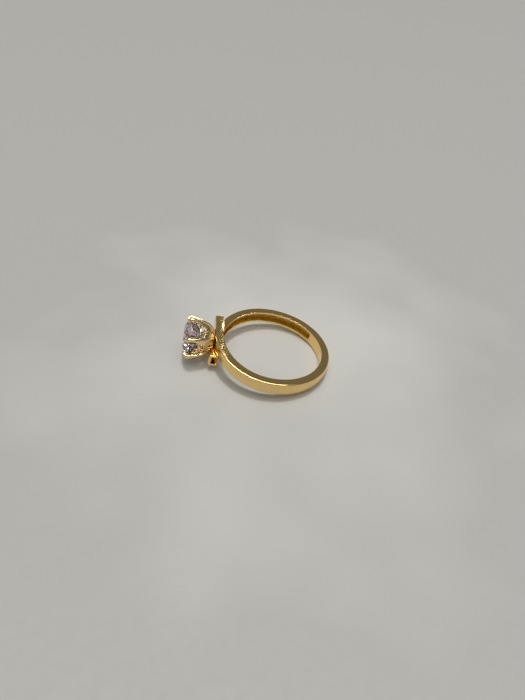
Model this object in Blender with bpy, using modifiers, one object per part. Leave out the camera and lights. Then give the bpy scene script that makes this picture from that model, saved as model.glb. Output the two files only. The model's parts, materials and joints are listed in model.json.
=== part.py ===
"""Six-claw solitaire engagement ring with a bypass shank, lying on its side.

Every piece is built in the ring's own axes: the finger axis is Z, the head points to -X and the
bottom of the shank is at +X.  The head pieces are built round their own upright axis and carried
by an empty that lays this axis along -X.  One root empty tips the whole ring on to its two rests
(lowest claw and bottom of the shank) and brings the middle of the footprint to the origin.
"""
import math

import bmesh
import bpy
from mathutils import Matrix, Vector

MM = 0.001

# ---------------------------------------------------------------- sizes of the shank
FINGER_DIAMETER = 17.2 * MM
BAND_WIDTH = 2.2 * MM
ARM_WIDTH = 2.05 * MM
BAND_THICKNESS = 1.4 * MM
ARM_THICKNESS = 1.45 * MM
ARM_CLEARANCE = 0.15 * MM
ARM_OVERRUN = 3.6 * MM
FAR_ARM_FLARE = 0.5 * MM
NEAR_ARM_FLARE = 0.1 * MM
SWEEP_HALF_ANGLE = 80.0
THICKENING_START = 40.0
DOME_RISE = 0.1 * MM
DOME_QUARTER_DROP = 0.25
EDGE_ROUND = 0.16 * MM
EDGE_MIDDLE = 0.3
INNER_EDGE_ROUND = 0.08 * MM
TIP_BEVEL = 0.14 * MM
STATION_ANGLE = 4.0
OVERRUN_STATIONS = 5

# ---------------------------------------------------------------- hollow behind the shank
SOLID_HALF_ANGLE = 33.0
HOLLOW_WALL = 0.34 * MM
HOLLOW_RIM = 0.34 * MM
HOLLOW_CORNER = 0.15 * MM
CUT_CLEARANCE = 0.5 * MM

# ---------------------------------------------------------------- sizes of the head
GAP = 0.03 * MM
STONE_DIAMETER = 6.5 * MM
GIRDLE_THICKNESS = 0.14 * MM
TABLE_RATIO = 0.57
CROWN_ANGLE = 34.5
PAVILION_ANGLE = 40.75
STAR_LENGTH = 0.5
LOWER_HALF_LENGTH = 0.77
CULET_RADIUS = 0.05 * MM
GIRDLE_SIDES = 64
MAIN_FACETS = 8

CLAW_COUNT = 6
CLAW_FOOT_HEIGHT = 0.08 * MM
CLAW_STEPS = 3
CLAW_ARC_POINTS = 7
CLAW_RIDGE = 0.35

CUP_FLOOR = 0.5 * MM
CUP_WALL = 0.35 * MM
CUP_RIM_HEIGHT = 1.2 * MM
CUP_SEGMENTS = 48

PEG_RADIUS = 0.34 * MM
PEG_LENGTH = 1.0 * MM
PEG_SEGMENTS = 24

RAIL_WIRE_RADIUS = 0.14 * MM
RAIL_HEIGHT = 2.4 * MM
RAIL_MAJOR_SEGMENTS = 60
RAIL_MINOR_SEGMENTS = 10

BEAD_RADIUS = 0.15 * MM
BEAD_NECK = 0.5
BEADS_PER_LOBE = 9
POINTS_PER_BEAD = 5
BEAD_LOW_HEIGHT = 1.5 * MM
BEAD_HIGH_HEIGHT = 1.98 * MM

# Claw stations from foot to tip, in millimetres and degrees for the 6.5 mm stone:
# outer radius, outer height, inner radius, inner height, half angle of the petal.
PETAL_STATIONS = (
    (2.10, 0.00, 1.80, 0.00, 18.0),
    (2.50, 0.45, 2.18, 0.50, 17.0),
    (2.78, 0.85, 2.45, 0.92, 15.2),
    (3.02, 1.35, 2.70, 1.42, 12.6),
    (3.22, 1.85, 2.90, 1.90, 10.2),
    (3.44, 2.36, 3.06, 2.38, 8.0),
    (3.64, 2.92, 3.14, 2.92, 6.0),
    (3.78, 3.38, 3.12, 3.34, 5.4),
)
# Above this the claw is notched for the girdle and bends over the crown; radii are measured
# from the girdle's edge and heights from the middle of the girdle.
GIRDLE_HEIGHT = 3.95 * MM
CLAW_STATIONS = (
    (0.60, -0.27, -0.15, -0.27, 5.2),
    (0.63, -0.09, 0.04, -0.10, 5.4),
    (0.63, 0.14, 0.04, 0.12, 5.5),
    (0.52, 0.42, -0.13, 0.24, 5.5),
    (0.28, 0.63, -0.29, 0.35, 5.2),
    (-0.04, 0.73, -0.41, 0.44, 4.6),
    (-0.29, 0.69, -0.45, 0.55, 3.4),
)
DRAWN_STONE_RADIUS = 3.25 * MM

GOLD_COLOUR = (0.80, 0.58, 0.25, 1.0)
STONE_COLOUR = (0.93, 0.92, 0.95, 1.0)
GOLD_ROUGHNESS = 0.18
STONE_ROUGHNESS = 0.02

inner_radius = FINGER_DIAMETER / 2.0
stone_radius = STONE_DIAMETER / 2.0
head_scale = stone_radius / DRAWN_STONE_RADIUS
crossing_radius = inner_radius + ARM_THICKNESS
# The arms run on under the head, so how far they go follows the size of the head.
arm_overrun = ARM_OVERRUN * head_scale


# ---------------------------------------------------------------- scene helpers
def clear_scene():
    for obj in list(bpy.data.objects):
        bpy.data.objects.remove(obj, do_unlink=True)


def new_collection(name):
    collection = bpy.data.collections.new(name)
    bpy.context.scene.collection.children.link(collection)
    return collection


def new_material(name, colour, roughness, metallic):
    material = bpy.data.materials.new(name)
    material.use_nodes = True
    shader = material.node_tree.nodes["Principled BSDF"]
    shader.inputs["Base Color"].default_value = colour
    shader.inputs["Roughness"].default_value = roughness
    shader.inputs["Metallic"].default_value = metallic
    material.diffuse_color = colour
    return material


def add_object(name, data, collection, parent, material=None):
    obj = bpy.data.objects.new(name, data)
    collection.objects.link(obj)
    obj.parent = parent
    if material is not None:
        data.materials.append(material)
    return obj


def as_cutter(obj):
    obj.hide_render = True
    obj.display_type = "WIRE"
    return obj


def subtract(target, cutter):
    modifier = target.modifiers.new("cut_" + cutter.name, "BOOLEAN")
    modifier.operation = "DIFFERENCE"
    modifier.solver = "EXACT"
    modifier.object = cutter


def loft_mesh(name, rings):
    """Skin a row of closed sections that all have the same number of points."""
    bm = bmesh.new()
    rows = [[bm.verts.new(point) for point in ring] for ring in rings]
    count = len(rows[0])
    for lower, upper in zip(rows, rows[1:]):
        for index in range(count):
            after = (index + 1) % count
            bm.faces.new((lower[index], lower[after], upper[after], upper[index]))
    for row in (rows[0], rows[-1]):
        for index in range(count // 2 - 1):
            far = count - 1 - index
            bm.faces.new((row[index], row[index + 1], row[far - 1], row[far]))
    bmesh.ops.recalc_face_normals(bm, faces=bm.faces)
    mesh = bpy.data.meshes.new(name)
    bm.to_mesh(mesh)
    bm.free()
    mesh.shade_smooth()
    mesh.set_sharp_from_angle(angle=math.radians(35.0))
    return mesh


def ease(value):
    value = min(max(value, 0.0), 1.0)
    return value * value * (3.0 - 2.0 * value)


# ---------------------------------------------------------------- shank
def band_thickness(angle):
    share = ease((angle - THICKENING_START) / (180.0 - THICKENING_START))
    return BAND_THICKNESS + (ARM_THICKNESS - BAND_THICKNESS) * share


def band_width(angle):
    return BAND_WIDTH + (ARM_WIDTH - BAND_WIDTH) * ease(angle / 180.0)


def arm_shift(angle):
    """Sideways shift of an arm; on both sides of the crossing the two arms keep their spacing."""
    travel = (angle - (180.0 - SWEEP_HALF_ANGLE)) / (2.0 * SWEEP_HALF_ANGLE)
    return ease(travel) * (ARM_WIDTH + ARM_CLEARANCE)


def station_frame(run, side):
    """Place and directions at an angle from the bottom; past 180 the arm runs on straight."""
    turn = math.radians(min(run, 180.0)) * side
    outward = Vector((math.cos(turn), math.sin(turn), 0.0))
    overrun = math.radians(max(run - 180.0, 0.0)) * crossing_radius
    onward = Vector((-math.sin(turn), math.cos(turn), 0.0)) * side
    flare = FAR_ARM_FLARE if side > 0.0 else NEAR_ARM_FLARE
    base = onward * overrun + outward * flare * (overrun / arm_overrun) ** 2
    base.z = -side * arm_shift(run)
    return base, outward


def band_section(run, inset):
    """Outline of the band: domed outside, flat sides, eased corners."""
    half = band_width(run) / 2.0 - inset
    inner = inner_radius + inset
    outer = inner_radius + band_thickness(run) - inset
    crest = outer + DOME_RISE / 2.0
    shoulder = outer - DOME_RISE / 2.0
    inside = INNER_EDGE_ROUND
    outline = [
        (inner, -half + inside),
        (inner, 0.0),
        (inner, half - inside),
        (inner + inside, half),
        (shoulder - EDGE_ROUND, half),
        (shoulder - EDGE_ROUND * EDGE_MIDDLE, half - EDGE_ROUND * EDGE_MIDDLE),
        (shoulder, half - EDGE_ROUND),
        (crest - DOME_RISE * DOME_QUARTER_DROP, half * 0.5),
        (crest, 0.0),
        (crest - DOME_RISE * DOME_QUARTER_DROP, -half * 0.5),
        (shoulder, -half + EDGE_ROUND),
        (shoulder - EDGE_ROUND * EDGE_MIDDLE, -half + EDGE_ROUND * EDGE_MIDDLE),
        (shoulder - EDGE_ROUND, -half),
        (inner + inside, -half),
    ]
    return outline


def hollow_section(run):
    half = band_width(run) / 2.0 - HOLLOW_RIM
    deep = inner_radius + band_thickness(run) - HOLLOW_WALL
    shallow = inner_radius - CUT_CLEARANCE
    return [
        (shallow, -half),
        (shallow, half),
        (deep - HOLLOW_CORNER, half),
        (deep, half - HOLLOW_CORNER),
        (deep, -half + HOLLOW_CORNER),
        (deep - HOLLOW_CORNER, -half),
    ]


def place_section(outline, run, side):
    base, outward = station_frame(run, side)
    return [base + outward * radius + Vector((0.0, 0.0, shift)) for radius, shift in outline]


def overrun_angle(length):
    return math.degrees(length / crossing_radius)


def arm_runs(first):
    """Angles of the stations from a start angle to the tip of an arm."""
    steps = round((180.0 - first) / STATION_ANGLE)
    runs = [first + (180.0 - first) * index / steps for index in range(steps)]
    extra = overrun_angle(arm_overrun) / OVERRUN_STATIONS
    runs += [180.0 + extra * index for index in range(OVERRUN_STATIONS + 1)]
    return runs


def shank_rings():
    runs = arm_runs(0.0)
    bevel_run = runs[-1] - overrun_angle(TIP_BEVEL)
    plain = [(run, 0.0) for run in runs[:-1]] + [(bevel_run, 0.0), (runs[-1], TIP_BEVEL * 0.5)]
    far = [place_section(band_section(run, inset), run, 1.0) for run, inset in plain]
    near = [place_section(band_section(run, inset), run, -1.0) for run, inset in plain[1:]]
    return far[::-1] + near


def build_shank(collection, cutters, root, gold):
    shank = add_object("shank", loft_mesh("shank", shank_rings()), collection, root, gold)
    beyond = overrun_angle(arm_overrun + CUT_CLEARANCE)
    for label, side in (("far", 1.0), ("near", -1.0)):
        runs = arm_runs(SOLID_HALF_ANGLE) + [180.0 + beyond]
        rings = [place_section(hollow_section(run), run, side) for run in runs]
        cutter = add_object(label + "_hollow", loft_mesh(label + "_hollow", rings), cutters, root)
        subtract(shank, as_cutter(cutter))
    return shank


# ---------------------------------------------------------------- stone
def ring_point(radius, angle, height):
    turn = math.radians(angle)
    return Vector((radius * math.cos(turn), radius * math.sin(turn), height))


def cut_facet(bm, first, second, third):
    """Grind one flat through three points and close the stone again."""
    normal = (second - first).cross(third - first).normalized()
    middle = Vector((0.0, 0.0, GIRDLE_HEIGHT * head_scale))
    if normal.dot(first - middle) < 0.0:
        normal.negate()
    geometry = bm.verts[:] + bm.edges[:] + bm.faces[:]
    result = bmesh.ops.bisect_plane(
        bm, geom=geometry, plane_co=first, plane_no=normal, clear_outer=True, dist=1e-8
    )
    edges = [item for item in result["geom_cut"] if isinstance(item, bmesh.types.BMEdge)]
    open_edges = [edge for edge in edges if edge.is_boundary]
    if open_edges:
        bmesh.ops.edgeloop_fill(bm, edges=open_edges)


def cut_side(bm, edge_height, direction, slope, flat_radius, meet_share):
    """Cut the mains, the long halves and the halves at the flat for one side of the girdle."""
    tangent = math.tan(math.radians(slope))
    step = 360.0 / MAIN_FACETS
    half = step / 2.0
    mid_scale = math.cos(math.radians(half))
    flat_height = edge_height + direction * (stone_radius - flat_radius) * tangent
    meet_radius = stone_radius - meet_share * (stone_radius - flat_radius * mid_scale)
    meet_height = edge_height + direction * (stone_radius - meet_radius * mid_scale) * tangent
    for index in range(MAIN_FACETS):
        angle = index * step
        foot = ring_point(stone_radius, angle, edge_height)
        across = Vector((-math.sin(math.radians(angle)), math.cos(math.radians(angle)), 0.0))
        cut_facet(bm, foot, foot + across * stone_radius, ring_point(flat_radius, angle, flat_height))
    for index in range(MAIN_FACETS):
        angle = index * step
        for way in (1.0, -1.0):
            foot = ring_point(stone_radius, angle, edge_height)
            corner = ring_point(stone_radius, angle + way * half, edge_height)
            cut_facet(bm, foot, corner, ring_point(meet_radius, angle + way * half, meet_height))
    return flat_height, meet_radius, meet_height


def build_stone(collection, head, material):
    bm = bmesh.new()
    middle = GIRDLE_HEIGHT * head_scale
    bmesh.ops.create_cone(
        bm, cap_ends=True, segments=GIRDLE_SIDES, radius1=stone_radius, radius2=stone_radius,
        depth=stone_radius * 4.0, matrix=Matrix.Translation((0.0, 0.0, middle)),
    )
    top = middle + GIRDLE_THICKNESS / 2.0
    bottom = middle - GIRDLE_THICKNESS / 2.0
    table_radius = stone_radius * TABLE_RATIO
    table_height, star_radius, star_height = cut_side(
        bm, top, 1.0, CROWN_ANGLE, table_radius, 1.0 - STAR_LENGTH
    )
    step = 360.0 / MAIN_FACETS
    corner = ring_point(table_radius, 0.0, table_height)
    cut_facet(bm, corner, ring_point(table_radius, step, table_height),
              ring_point(table_radius, 2.0 * step, table_height))
    for index in range(MAIN_FACETS):
        angle = index * step
        cut_facet(bm, ring_point(table_radius, angle, table_height),
                  ring_point(table_radius, angle + step, table_height),
                  ring_point(star_radius, angle + step / 2.0, star_height))
    culet_height = cut_side(bm, bottom, -1.0, PAVILION_ANGLE, CULET_RADIUS, LOWER_HALF_LENGTH)[0]
    cut_facet(bm, ring_point(CULET_RADIUS, 0.0, culet_height),
              ring_point(CULET_RADIUS, step, culet_height),
              ring_point(CULET_RADIUS, 2.0 * step, culet_height))
    bmesh.ops.remove_doubles(bm, verts=bm.verts, dist=1e-7)
    bmesh.ops.recalc_face_normals(bm, faces=bm.faces)
    mesh = bpy.data.meshes.new("stone")
    bm.to_mesh(mesh)
    bm.free()
    return add_object("stone", mesh, collection, head, material)


# ---------------------------------------------------------------- head
def blend_rows(rows, steps):
    """Smooth curve through the station rows, with extra rows between them."""
    padded = [rows[0]] + list(rows) + [rows[-1]]
    result = []
    for index in range(len(rows) - 1):
        before, start, end, after = padded[index:index + 4]
        for step in range(steps):
            t = step / steps
            row = []
            for a, b, c, d in zip(before, start, end, after):
                bend = (c - a) * t + (2 * a - 5 * b + 4 * c - d) * t ** 2
                row.append(b + 0.5 * (bend + (3 * b - a - 3 * c + d) * t ** 3))
            result.append(tuple(row))
    result.append(rows[-1])
    return result


def lifted(height):
    """Lift the foot of a petal clear of the shank, fading out one millimetre up."""
    return height + CLAW_FOOT_HEIGHT * (1.0 - min(height, MM) / MM)


def petal_rows():
    """Rows of the petal part of a claw in metres, from the foot up."""
    rows = []
    for row in blend_rows(PETAL_STATIONS, CLAW_STEPS):
        outer, up, inner, rise = (value * MM * head_scale for value in row[:4])
        rows.append((outer, lifted(up), inner, lifted(rise), row[4]))
    return rows


def claw_rows():
    rows = petal_rows()
    edge = stone_radius
    middle = GIRDLE_HEIGHT * head_scale
    for outer, up, inner, rise, angle in CLAW_STATIONS:
        rows.append((edge + outer * MM, middle + up * MM, edge + inner * MM, middle + rise * MM, angle))
    return rows


def claw_section(row, facing):
    """Slice of one claw: a slightly ridged outer arc and a plain inner arc."""
    outer, up, inner, rise, half_angle = row
    points = []
    last = CLAW_ARC_POINTS - 1
    for index in range(CLAW_ARC_POINTS):
        share = 2.0 * index / last - 1.0
        drop = CLAW_RIDGE * (outer - inner) * share * share
        lower = (up - rise) * CLAW_RIDGE * share * share
        points.append(ring_point(outer - drop, facing + share * half_angle, up - lower))
    for index in range(CLAW_ARC_POINTS):
        share = 1.0 - 2.0 * index / last
        points.append(ring_point(inner, facing + share * half_angle, rise))
    return points


def build_claws(collection, head, gold):
    rows = claw_rows()
    for number in range(CLAW_COUNT):
        facing = number * 360.0 / CLAW_COUNT
        name = "claw_%d" % (number + 1)
        rings = [claw_section(row, facing) for row in rows]
        add_object(name, loft_mesh(name, rings), collection, head, gold)


def petal_inside(height):
    """Radius of the inner side of the petals at a height above the shank."""
    rows = [(row[2], row[3]) for row in petal_rows()]
    for (first, low), (second, high) in zip(rows, rows[1:]):
        if low <= height <= high:
            return first + (second - first) * (height - low) / (high - low)
    return rows[0][0]


def lathe(name, profile, segments, collection, head, material):
    """Turn a profile of (radius, height) pairs, outer side first from top to bottom."""
    mesh = bpy.data.meshes.new(name)
    points = [(radius, 0.0, height) for radius, height in profile]
    edges = [(index, index + 1) for index in range(len(points) - 1)]
    mesh.from_pydata(points, edges, [])
    obj = add_object(name, mesh, collection, head, material)
    screw = obj.modifiers.new("turn", "SCREW")
    screw.axis = "Z"
    screw.steps = segments
    screw.render_steps = segments
    screw.use_merge_vertices = True
    screw.merge_threshold = 1e-6
    screw.use_smooth_shade = True
    return obj


def far_arm_rise(run):
    """How far the flare lifts the far arm towards the head at a distance past the crossing."""
    return FAR_ARM_FLARE * (run / arm_overrun) ** 2


def build_cup(collection, head, gold):
    """Bowl inside the petals: its outer side follows theirs, its foot stands on the arms."""
    rim = CUP_RIM_HEIGHT * head_scale
    floor = CUP_FLOOR * head_scale
    lip = petal_inside(rim) - GAP
    foot = petal_inside(0.0) - GAP
    seat = [(radius, GAP + far_arm_rise(radius)) for radius in (foot, foot / 2.0, 0.0)]
    inside = [(0.0, floor), (foot - CUP_WALL, floor), (lip - CUP_WALL, rim)]
    outside = [(row[2] - GAP, row[3]) for row in petal_rows() if seat[0][1] < row[3] < rim]
    profile = inside + [(lip, rim)] + outside[::-1] + seat
    return lathe("head_cup", profile, CUP_SEGMENTS, collection, head, gold)


def build_peg(collection, cutters, head, shank, gold):
    def cylinder(name, radius, low, high, group):
        bm = bmesh.new()
        place = Matrix.Translation((0.0, 0.0, (low + high) / 2.0))
        bmesh.ops.create_cone(bm, cap_ends=True, segments=PEG_SEGMENTS, radius1=radius,
                              radius2=radius, depth=high - low, matrix=place)
        mesh = bpy.data.meshes.new(name)
        bm.to_mesh(mesh)
        bm.free()
        return add_object(name, mesh, group, head, gold)

    cylinder("head_peg", PEG_RADIUS, -PEG_LENGTH, 0.0, collection)
    hole = cylinder("peg_hole", PEG_RADIUS + GAP, -crossing_radius / 2.0, MM, cutters)
    subtract(shank, as_cutter(hole))


def build_rail(collection, head, gold):
    height = RAIL_HEIGHT * head_scale
    radius = petal_inside(height) - RAIL_WIRE_RADIUS - GAP
    bpy.ops.mesh.primitive_torus_add(
        major_radius=radius, minor_radius=RAIL_WIRE_RADIUS,
        major_segments=RAIL_MAJOR_SEGMENTS, minor_segments=RAIL_MINOR_SEGMENTS,
    )
    rail = bpy.context.object
    rail.name = "gallery_rail"
    rail.data.name = "gallery_rail"
    rail.location = (0.0, 0.0, height)
    for group in list(rail.users_collection):
        group.objects.unlink(rail)
    collection.objects.link(rail)
    rail.parent = head
    rail.data.materials.append(gold)
    rail.data.shade_smooth()


def build_beaded_wire(collection, head, gold):
    """Beaded wire that dips between the petals and rises behind them."""
    curve = bpy.data.curves.new("beaded_wire", "CURVE")
    curve.dimensions = "3D"
    curve.bevel_depth = BEAD_RADIUS
    curve.bevel_resolution = 1
    spline = curve.splines.new("POLY")
    count = CLAW_COUNT * BEADS_PER_LOBE * POINTS_PER_BEAD
    spline.points.add(count - 1)
    spline.use_cyclic_u = True
    middle = (BEAD_LOW_HEIGHT + BEAD_HIGH_HEIGHT) / 2.0 * head_scale
    swing = (BEAD_HIGH_HEIGHT - BEAD_LOW_HEIGHT) / 2.0 * head_scale
    for index in range(count):
        angle = 360.0 * index / count
        height = middle + swing * math.cos(math.radians(angle * CLAW_COUNT))
        radius = petal_inside(height) - BEAD_RADIUS - 2.0 * GAP
        place = ring_point(radius, angle, height)
        spline.points[index].co = (place.x, place.y, place.z, 1.0)
        across = 2.0 * (index % POINTS_PER_BEAD) / POINTS_PER_BEAD - 1.0
        bulge = math.sqrt(1.0 - across * across)
        spline.points[index].radius = BEAD_NECK + (1.0 - BEAD_NECK) * bulge
    add_object("beaded_wire", curve, collection, head, gold)


# ---------------------------------------------------------------- resting on its side
def evaluated_points(collection):
    bpy.context.view_layer.update()
    depsgraph = bpy.context.evaluated_depsgraph_get()
    points = []
    for obj in collection.objects:
        if obj.type not in {"MESH", "CURVE"}:
            continue
        evaluated = obj.evaluated_get(depsgraph)
        mesh = evaluated.to_mesh()
        points += [evaluated.matrix_world @ vertex.co for vertex in mesh.vertices]
        evaluated.to_mesh_clear()
    return points


def lowest_side(points, tilt):
    """X place, in the ring's own axes, of the point that touches the table at this tilt."""
    sine = math.sin(tilt)
    cosine = math.cos(tilt)
    return min(points, key=lambda point: -point.x * sine + point.z * cosine).x


def resting_tilt(points):
    """Tilt at which the lowest point changes over from the shank to the head."""
    level = 0.0
    steep = math.radians(45.0)
    for _ in range(40):
        middle = (level + steep) / 2.0
        if lowest_side(points, middle) < -inner_radius:
            level = middle
        else:
            steep = middle
    return (level + steep) / 2.0


def lay_down(root, collection):
    root.rotation_euler = (0.0, resting_tilt(evaluated_points(collection)), 0.0)
    points = evaluated_points(collection)
    low = [min(point[axis] for point in points) for axis in range(3)]
    high = [max(point[axis] for point in points) for axis in range(3)]
    root.location = (-(low[0] + high[0]) / 2.0, -(low[1] + high[1]) / 2.0, -low[2])
    bpy.context.view_layer.update()


def build():
    clear_scene()
    ring = new_collection("engagement_ring")
    cutters = new_collection("cutters")
    gold = new_material("yellow_gold", GOLD_COLOUR, GOLD_ROUGHNESS, 1.0)
    clear = new_material("clear_stone", STONE_COLOUR, STONE_ROUGHNESS, 0.0)
    root = add_object("ring_rest", None, ring, None)
    head = add_object("head_axis", None, ring, root)
    head.location = (-crossing_radius - DOME_RISE / 2.0, 0.0, 0.0)
    head.rotation_euler = (0.0, -math.pi / 2.0, 0.0)
    shank = build_shank(ring, cutters, root, gold)
    build_peg(ring, cutters, head, shank, gold)
    build_cup(ring, head, gold)
    build_claws(ring, head, gold)
    build_rail(ring, head, gold)
    build_beaded_wire(ring, head, gold)
    build_stone(ring, head, clear)
    lay_down(root, ring)


build()
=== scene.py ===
# %% [markdown]
# # Engagement ring with a bypass shank, lying on its side
# A yellow gold ring rests on a pale table. It has one clear round stone held by six petal-shaped
# claws, and the two arms of its shank pass each other under the head. The model of the pieces is
# already there as a plain frame, and this lesson makes each piece again as a jeweller would finish
# it: rounded edges, a rough cast hollow behind the arms, beads on the wire and facets on the stone.
# The pieces could be left as they are and only coloured, but polished gold shows every edge, so
# each one is modelled again with its own soft edges.

# %% Load the frame and keep its record
import json
import math

import bmesh
import bpy
from mathutils import Matrix, Vector


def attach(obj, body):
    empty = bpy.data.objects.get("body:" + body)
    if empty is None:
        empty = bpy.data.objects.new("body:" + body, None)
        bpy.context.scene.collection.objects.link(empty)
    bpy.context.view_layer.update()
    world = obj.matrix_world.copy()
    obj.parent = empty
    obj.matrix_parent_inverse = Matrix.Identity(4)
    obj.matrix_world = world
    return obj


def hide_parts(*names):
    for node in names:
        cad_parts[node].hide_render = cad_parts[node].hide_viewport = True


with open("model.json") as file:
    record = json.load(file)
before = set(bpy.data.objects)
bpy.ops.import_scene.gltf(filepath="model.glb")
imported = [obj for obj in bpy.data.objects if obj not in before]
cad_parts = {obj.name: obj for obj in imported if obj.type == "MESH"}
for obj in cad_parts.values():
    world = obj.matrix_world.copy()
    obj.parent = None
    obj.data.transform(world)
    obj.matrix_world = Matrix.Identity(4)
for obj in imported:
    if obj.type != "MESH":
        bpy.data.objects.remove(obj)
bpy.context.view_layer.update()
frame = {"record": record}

# %% [markdown]
# ## The bench
# A ring is small, and many of Blender's tools merge points closer than a tenth of a millimetre.
# So the pieces are made on a bench where one unit is one millimetre. The finger axis is Z, the
# head points to -X and the bottom of the shank is at +X. Afterwards each piece is laid on its side
# on the table. The tilt of the ring comes from the flat top of the stone, whose place and
# direction the record keeps.

# %% Sizes of the ring in millimetres
FINGER_RADIUS = 8.6
BAND_THICKNESS = 1.4
ARM_THICKNESS = 1.45
DOME_RISE = 0.1
STONE_RADIUS = 3.25
GIRDLE_HEIGHT = 3.95
GIRDLE_THICKNESS = 0.14
TABLE_RATIO = 0.57
CROWN_ANGLE = math.radians(34.5)
crossing_radius = FINGER_RADIUS + ARM_THICKNESS
head_base = crossing_radius + DOME_RISE / 2
table_radius = STONE_RADIUS * TABLE_RATIO
crown_height = (STONE_RADIUS - table_radius) * math.tan(CROWN_ANGLE)
table_height = GIRDLE_HEIGHT + GIRDLE_THICKNESS / 2 + crown_height
print("stone's flat top stands", round(table_height, 2), "mm above the arms")

# %% From the bench to the table
MM = 0.001
table_mount = frame["record"]["mounts"][0]
table_axis = Vector(table_mount["axis"])
tilt = math.atan2(table_axis.z, -table_axis.x)
lean = Matrix.Rotation(tilt, 4, "Y")
table_place = Vector(table_mount["pos_m"])
table_on_bench = Vector((-(head_base + table_height), 0.0, 0.0))
rest_place = table_place - lean @ (table_on_bench * MM)
ring_to_table = Matrix.Translation(rest_place) @ lean @ Matrix.Scale(MM, 4)
head_to_ring = Matrix.Translation((-head_base, 0.0, 0.0)) @ Matrix.Rotation(math.radians(-90), 4, "Y")
print("the ring leans", round(math.degrees(tilt), 2), "degrees")

# %% Small helpers of the bench
SMOOTH_ANGLE = math.radians(40)


def object_mode():
    if bpy.context.mode != "OBJECT":
        bpy.ops.object.mode_set(mode="OBJECT")


def clear_selection():
    object_mode()
    bpy.ops.object.select_all(action="DESELECT")


def take(piece):
    """Make a piece the only selected and the active one."""
    clear_selection()
    piece.select_set(True)
    bpy.context.view_layer.objects.active = piece


def edit(piece, kind="FACE"):
    take(piece)
    bpy.ops.object.mode_set(mode="EDIT")
    bpy.ops.mesh.select_mode(type=kind)
    bpy.ops.mesh.select_all(action="SELECT")


def pick(kind, test, only_selected=False):
    """Select faces, edges or vertices of the piece in edit mode by a test on each."""
    bpy.ops.mesh.select_mode(type=kind)
    mesh = bpy.context.edit_object.data
    bm = bmesh.from_edit_mesh(mesh)
    items = {"FACE": bm.faces, "EDGE": bm.edges, "VERT": bm.verts}[kind]
    wanted = [item for item in items if (item.select or not only_selected) and test(item)]
    for group in (bm.faces, bm.edges, bm.verts):
        for item in group:
            item.select = False
    for item in wanted:
        item.select_set(True)
    bm.select_flush_mode()
    bmesh.update_edit_mesh(mesh)
    return len(wanted)


def middle(item):
    if isinstance(item, bmesh.types.BMFace):
        return item.calc_center_median()
    return sum((vertex.co for vertex in item.verts), Vector()) / len(item.verts)


def modify(piece, kind, **settings):
    """Add one modifier with its settings and apply it."""
    take(piece)
    modifier = piece.modifiers.new(kind.lower(), kind)
    for name, value in settings.items():
        setattr(modifier, name, value)
    bpy.ops.object.modifier_apply(modifier=modifier.name)


def mark_second_finish(piece):
    """Give the faces selected in edit mode the piece's second material."""
    bm = bmesh.from_edit_mesh(piece.data)
    for face in bm.faces:
        face.material_index = 1 if face.select else 0
    bmesh.update_edit_mesh(piece.data)


def smooth(piece):
    """Shade a piece smooth, and keep its sharp corners."""
    take(piece)
    bpy.ops.object.shade_smooth_by_angle(angle=SMOOTH_ANGLE)


def turn_about_finger(angle):
    bpy.ops.transform.rotate(value=-angle, orient_axis="Z", center_override=(0, 0, 0))


def close_and_orient(threshold=1e-4):
    bpy.ops.mesh.select_all(action="SELECT")
    bpy.ops.mesh.remove_doubles(threshold=threshold)
    bpy.ops.mesh.normals_make_consistent(inside=False)


def apply_place(piece):
    """Write a piece's place, turn and size into its mesh."""
    take(piece)
    bpy.ops.object.transform_apply(location=True, rotation=True, scale=True)


def give_materials(piece, *materials):
    for material in materials:
        piece.data.materials.append(material)


def finish_piece(piece, nodes, on_head=True):
    """Lay a piece on the table, attach it to the root and hide the nodes of the frame that it stands
    for.
    """
    piece.matrix_world = ring_to_table @ (head_to_ring if on_head else Matrix.Identity(4))
    apply_place(piece)
    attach(piece, "root")
    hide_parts(*nodes)
    print(piece.name, len(piece.data.polygons), "faces")


def ease(value):
    value = min(max(value, 0.0), 1.0)
    return value * value * (3.0 - 2.0 * value)


def around(radius, angle, height):
    """Point at an angle in degrees round the upright axis."""
    turned = math.radians(angle)
    return Vector((radius * math.cos(turned), radius * math.sin(turned), height))


print("bench ready")

# %% [markdown]
# ## Finishes shared by the pieces
# Gold that has been polished by hand isn't a perfect mirror: fine wheel lines cross each other,
# handling leaves a thin film in patches, and edges are burnished brighter than flats. A picture
# could carry this, but it would blur close up, so noise makes it instead. Each effect is a node
# group with its own inputs, because several materials use it with different values.

# %% A helper for node groups
def new_group(name, inputs, outputs):
    group = bpy.data.node_groups.new(name, "ShaderNodeTree")
    for label, value in inputs.items():
        socket = group.interface.new_socket(name=label, in_out="INPUT", socket_type="NodeSocketFloat")
        socket.default_value = value
    for label in outputs:
        group.interface.new_socket(name=label, in_out="OUTPUT", socket_type="NodeSocketFloat")
    return group, group.nodes.new("NodeGroupInput"), group.nodes.new("NodeGroupOutput")


def feed(tree, socket, value):
    """Give an input a number, a colour or the output of another node."""
    if isinstance(value, bpy.types.NodeSocket):
        tree.links.new(value, socket)
    else:
        socket.default_value = (*value, 1.0) if isinstance(value, tuple) else value


def math_node(tree, operation, first, second):
    node = tree.nodes.new("ShaderNodeMath")
    node.operation = operation
    feed(tree, node.inputs[0], first)
    feed(tree, node.inputs[1], second)
    return node.outputs[0]


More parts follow.
